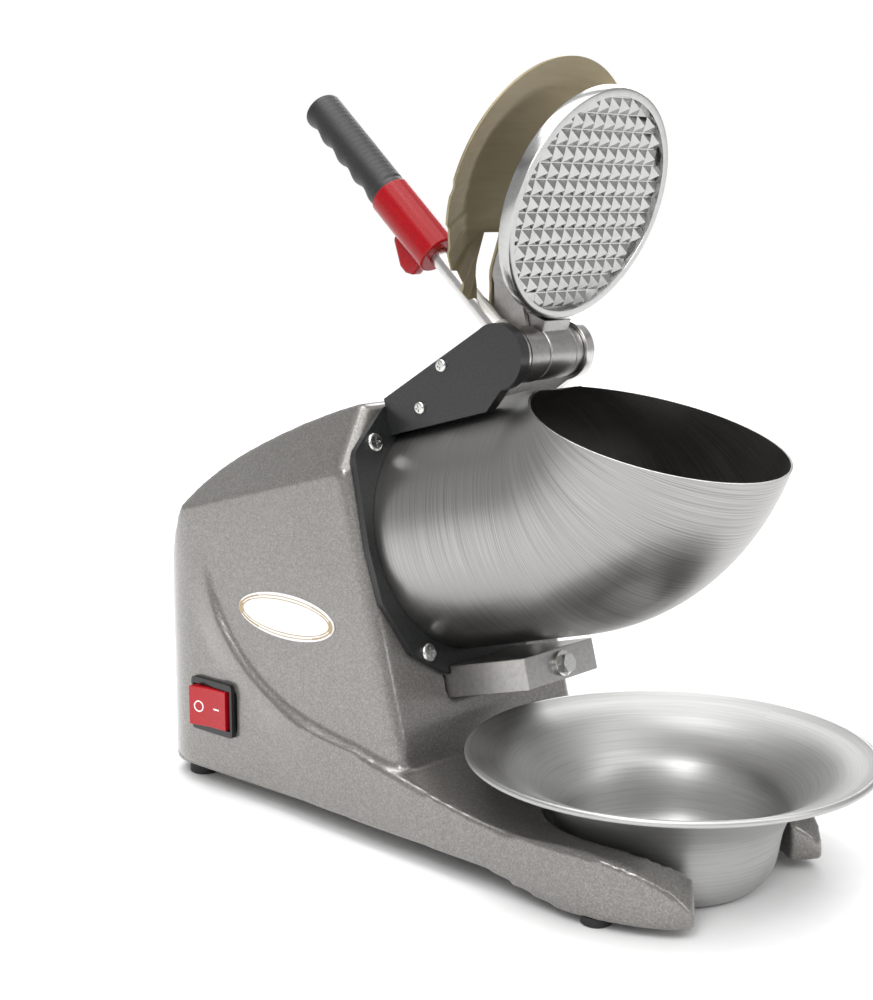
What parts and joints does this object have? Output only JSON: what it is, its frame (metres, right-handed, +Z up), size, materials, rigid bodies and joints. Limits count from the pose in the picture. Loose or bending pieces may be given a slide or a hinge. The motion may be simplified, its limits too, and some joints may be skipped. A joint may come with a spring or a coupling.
{
  "type": "shaved ice machine",
  "caption": "Countertop shaved ice machine: tilted brushed hopper, press plate on a hinged lever with splash guard, motor housing with forked base and catch bowl.",
  "frame": {"origin": "on the counter plane, under the middle of the whole machine's bounding box", "axes": "+Z up, -Y towards the front where the hopper and bowl are, +X across to the right of someone standing behind the machine"},
  "size_m": [0.2136, 0.4538, 0.421],
  "materials": {
    "housing": "hammertone grey paint on cast aluminium",
    "bottom_cover": "grey painted sheet steel",
    "bottom_cover_screws": "zinc-plated steel",
    "cover_posts": "cast posts",
    "rubber_feet": "moulded rubber",
    "run_capacitor": "aluminium can",
    "capacitor_clip": "moulded clip",
    "terminal_block": "moulded nylon",
    "cable_gland": "moulded nylon",
    "switch_bezel": "gloss black plastic",
    "rocker": "translucent red plastic",
    "rocker_pin": "moulded stub pin",
    "name_badge": "blank printed label",
    "hopper": "brushed stainless steel",
    "flange_plate": "black satin paint",
    "flange_screws": "zinc-plated steel",
    "bracket_screws": "zinc-plated steel",
    "ice_chamber": "cast aluminium",
    "discharge_chute": "cast aluminium",
    "chute_bolt": "zinc-plated steel",
    "blade_disc": "machined aluminium",
    "cutting_blades": "hardened stainless steel",
    "blade_screws": "stainless steel",
    "disc_nut": "stainless steel",
    "drive_shaft": "ground steel",
    "motor_can": "painted steel can",
    "front_bearing": "bearing steel",
    "rear_bearing": "bearing steel",
    "shaft_seal": "lip seal",
    "stator": "laminated steel with windings",
    "rotor": "laminated steel",
    "cooling_fan": "moulded nylon",
    "motor_bolts": "zinc-plated steel",
    "hinge_bracket": "stainless steel plate",
    "switch_cover": "black satin plastic",
    "switch_cover_screws": "zinc-plated steel",
    "limit_switch": "moulded microswitch",
    "hinge_washer": "black nylon washer",
    "hinge_pin": "stainless steel",
    "switch_cam": "acetal cam",
    "lever_collar": "cast aluminium",
    "lever_rod": "polished steel rod",
    "red_sleeve": "red plastic",
    "trigger": "red plastic",
    "grip": "moulded rubber grip",
    "plate_arm": "cast aluminium",
    "press_plate": "polished cast aluminium",
    "plate_screws": "stainless steel",
    "splash_guard": "bronze anodised sheet",
    "guard_ear_left": "stainless steel",
    "guard_ear_right": "stainless steel",
    "guard_rivets": "aluminium rivets",
    "catch_bowl": "stainless steel"
  },
  "bodies": {
    "frame": {"housing": "housing", "bottom_cover": "bottom_cover", "bottom_cover_screws": "bottom_cover_screws", "cover_posts": "cover_posts", "rubber_feet": "rubber_feet", "run_capacitor": "run_capacitor", "capacitor_clip": "capacitor_clip", "terminal_block": "terminal_block", "cable_gland": "cable_gland", "switch_bezel": "switch_bezel", "rocker_pin": "rocker_pin", "name_badge": "name_badge", "hopper": "hopper", "flange_plate": "flange_plate", "flange_screws": "flange_screws", "bracket_screws": "bracket_screws", "ice_chamber": "ice_chamber", "discharge_chute": "discharge_chute", "chute_bolt": "chute_bolt", "motor_can": "motor_can", "front_bearing": "front_bearing", "rear_bearing": "rear_bearing", "shaft_seal": "shaft_seal", "stator": "stator", "motor_bolts": "motor_bolts", "hinge_bracket": "hinge_bracket", "switch_cover": "switch_cover", "switch_cover_screws": "switch_cover_screws", "limit_switch": "limit_switch", "hinge_washer": "hinge_washer"},
    "lever": {"hinge_pin": "hinge_pin", "switch_cam": "switch_cam", "lever_collar": "lever_collar", "lever_rod": "lever_rod", "red_sleeve": "red_sleeve", "grip": "grip", "plate_arm": "plate_arm", "press_plate": "press_plate", "plate_screws": "plate_screws"},
    "guard": {"splash_guard": "splash_guard", "guard_ear_left": "guard_ear_left", "guard_ear_right": "guard_ear_right", "guard_rivets": "guard_rivets"},
    "trigger_body": {"trigger": "trigger"},
    "cutter": {"blade_disc": "blade_disc", "cutting_blades": "cutting_blades", "blade_screws": "blade_screws", "disc_nut": "disc_nut", "drive_shaft": "drive_shaft", "rotor": "rotor", "cooling_fan": "cooling_fan"},
    "rocker_body": {"rocker": "rocker"},
    "bowl": {"catch_bowl": "catch_bowl"}
  },
  "joints": [
    {"name": "lever_hinge", "type": "hinge", "parent": "frame", "child": "lever", "pos_m": [0, -0.03324, 0.26884], "axis": [1, 0, 0], "range_deg": [0, 125]},
    {"name": "guard_hinge", "type": "hinge", "parent": "frame", "child": "guard", "pos_m": [0, -0.03324, 0.26884], "axis": [1, 0, 0], "range_deg": [0, 100]},
    {"name": "trigger_slide", "type": "slide", "parent": "lever", "child": "trigger_body", "axis": [0, -0.6691, 0.7431], "range_m": [0, 0.0035], "stiffness_N_per_m": 300, "springref_m": -0.001},
    {"name": "cutter_spin", "type": "hinge", "parent": "frame", "child": "cutter", "pos_m": [0, 0.0259, 0.165], "axis": [0, -0.9659, 0.2588], "continuous": true},
    {"name": "rocker_hinge", "type": "hinge", "parent": "frame", "child": "rocker_body", "pos_m": [-0.076, 0.1519, 0.053], "axis": [0, 0, -1], "range_deg": [0, 14]},
    {"name": "bowl_lift", "type": "slide", "parent": "frame", "child": "bowl", "axis": [0, 0, 1], "range_m": [0, 0.012]}
  ],
  "couplings": [
    {"joint": "guard_hinge", "follows": "lever_hinge", "ratio": 0.8}
  ]
}
